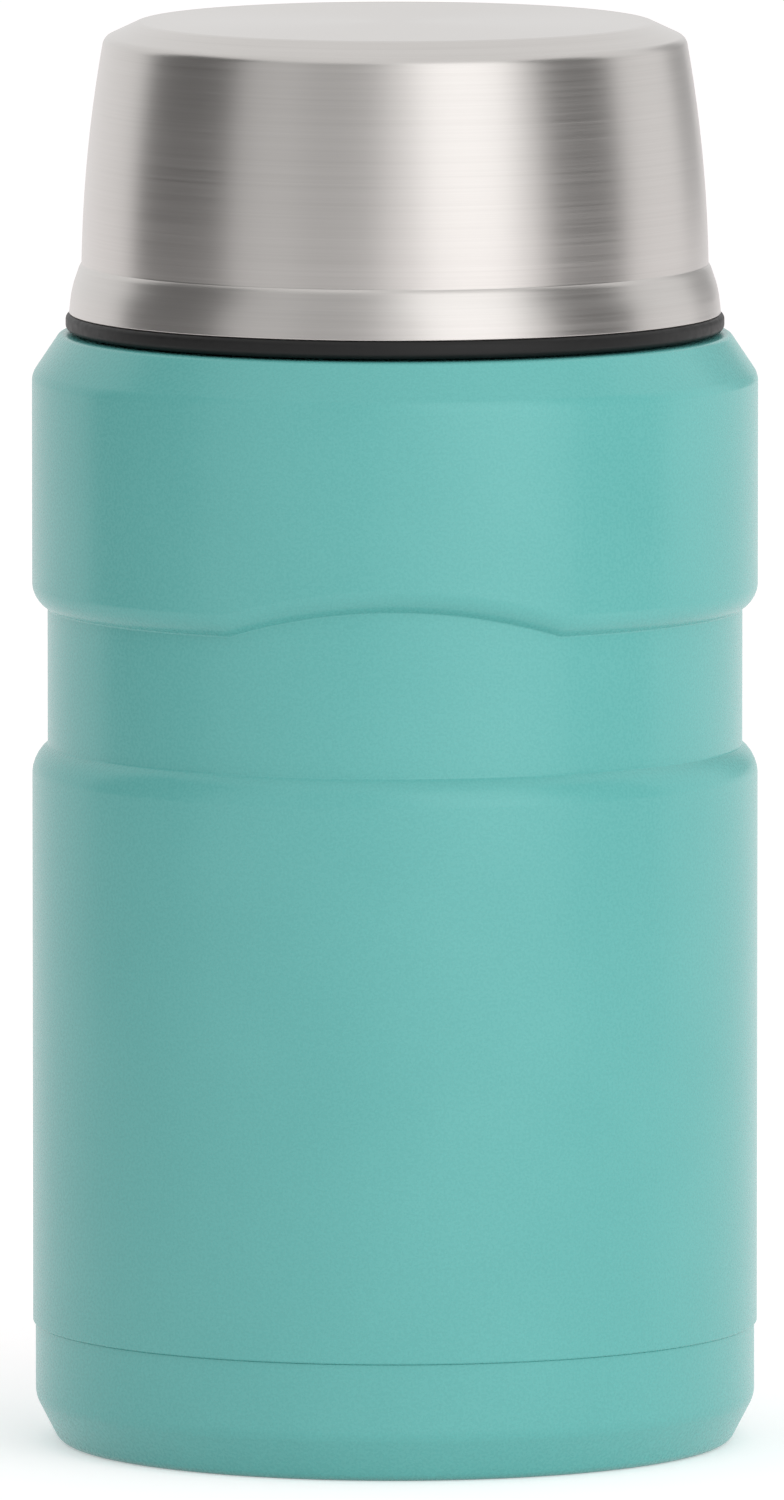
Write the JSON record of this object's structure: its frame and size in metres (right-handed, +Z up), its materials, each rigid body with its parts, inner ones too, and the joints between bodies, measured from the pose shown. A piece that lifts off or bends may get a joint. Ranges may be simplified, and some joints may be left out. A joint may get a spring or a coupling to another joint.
{
  "type": "insulated food jar",
  "caption": "Upright vacuum-walled steel food jar with a sunk waist, a screw stopper, and a screw-on steel lid that turns over to serve as a bowl.",
  "frame": {"origin": "centre of the jar's round base, on the surface that it stands on", "axes": "+Z up along the jar's axis; the front, with the arch in the waist's upper edge, faces -Y"},
  "size_m": [0.0968, 0.0968, 0.1901],
  "materials": {
    "painted_steel": "matte teal powder coat on stainless steel",
    "brushed_steel": "stainless steel brushed round the side and spun on the top",
    "bare_steel": "plain satin stainless steel",
    "black_plastic": "satin black moulded polypropylene",
    "black_rubbery_plastic": "matte black moulded ring",
    "silicone": "dark grey silicone",
    "foil": "thin bright reflecting foil",
    "glass_solder": "dull grey glass solder",
    "foam": "pale closed-cell foam"
  },
  "bodies": {
    "jar": {"outer_shell": "painted_steel", "base_cup": "painted_steel", "outer_bottom": "bare_steel", "evacuation_seal": "glass_solder", "neck_sleeve": "bare_steel", "vessel_shoulder": "bare_steel", "inner_vessel": "bare_steel", "inner_bottom": "bare_steel", "foil_shield": "foil", "getter_capsule": "bare_steel"},
    "stopper_carrier": {"stopper_foam": "foam"},
    "stopper": {"stopper_cap": "black_plastic", "stopper_plug": "black_plastic", "stopper_gasket": "silicone"},
    "bowl_carrier": {"bowl_insulation": "foam"},
    "bowl": {"bowl_shell": "brushed_steel", "bowl_liner": "black_plastic", "bowl_rim_ring": "black_rubbery_plastic"}
  },
  "joints": [
    {"name": "stopper_rise", "type": "slide", "parent": "jar", "child": "stopper_carrier", "axis": [0, 0, 1], "range_m": [0, 0.0301]},
    {"name": "stopper_turn", "type": "hinge", "parent": "stopper_carrier", "child": "stopper", "pos_m": [0, 0, 0.155], "axis": [0, 0, 1], "range_deg": [0, 900]},
    {"name": "bowl_rise", "type": "slide", "parent": "stopper", "child": "bowl_carrier", "axis": [0, 0, 1], "range_m": [0, 0.0301]},
    {"name": "bowl_turn", "type": "hinge", "parent": "bowl_carrier", "child": "bowl", "pos_m": [0, 0, 0.17], "axis": [0, 0, 1], "range_deg": [0, 900]}
  ],
  "couplings": [
    {"joint": "stopper_rise", "follows": "stopper_turn", "m_per_rad": 0.0019099},
    {"joint": "bowl_rise", "follows": "bowl_turn", "m_per_rad": 0.0019099}
  ]
}
